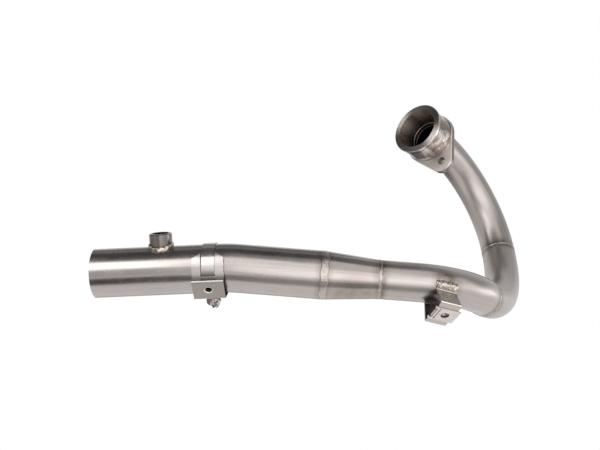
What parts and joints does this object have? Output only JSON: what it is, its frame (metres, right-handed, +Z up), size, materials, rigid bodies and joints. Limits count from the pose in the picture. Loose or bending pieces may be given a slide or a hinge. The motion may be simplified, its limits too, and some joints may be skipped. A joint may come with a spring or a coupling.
{
  "type": "motorcycle exhaust header",
  "caption": "Bent stainless motorcycle exhaust header pipe with a studded head flange, a reducing cone, a sensor boss and two heat-shield brackets.",
  "frame": {"origin": "centre of the inlet face on the head flange", "axes": "+X along the rear pipe from the outlet towards the front, +Z up through the sensor boss, -Y out towards the rider's shield side"},
  "size_m": [0.4768, 0.2679, 0.2443],
  "materials": {
    "pipe_steel": "satin",
    "machined_steel": "turned",
    "weld_metal": "rippled",
    "sheet_steel": "satin",
    "plated_steel": "plated"
  },
  "bodies": {
    "root": {"rear_pipe": "pipe_steel", "reducer_cone": "pipe_steel", "lower_pipe": "pipe_steel", "elbow": "pipe_steel", "upper_bend": "pipe_steel", "head_flange": "machined_steel", "sensor_boss": "machined_steel", "flange_weld": "weld_metal", "upper_weld": "weld_metal", "lower_weld": "weld_metal", "cone_front_weld": "weld_metal", "cone_rear_weld": "weld_metal", "boss_weld": "weld_metal", "clamp_band": "sheet_steel", "clamp_screw": "plated_steel", "clamp_nut": "plated_steel", "saddle_bracket": "sheet_steel", "saddle_nut": "plated_steel", "shield_bracket": "sheet_steel", "bracket_weld": "weld_metal", "clip_nut": "plated_steel"}
  },
  "joints": []
}
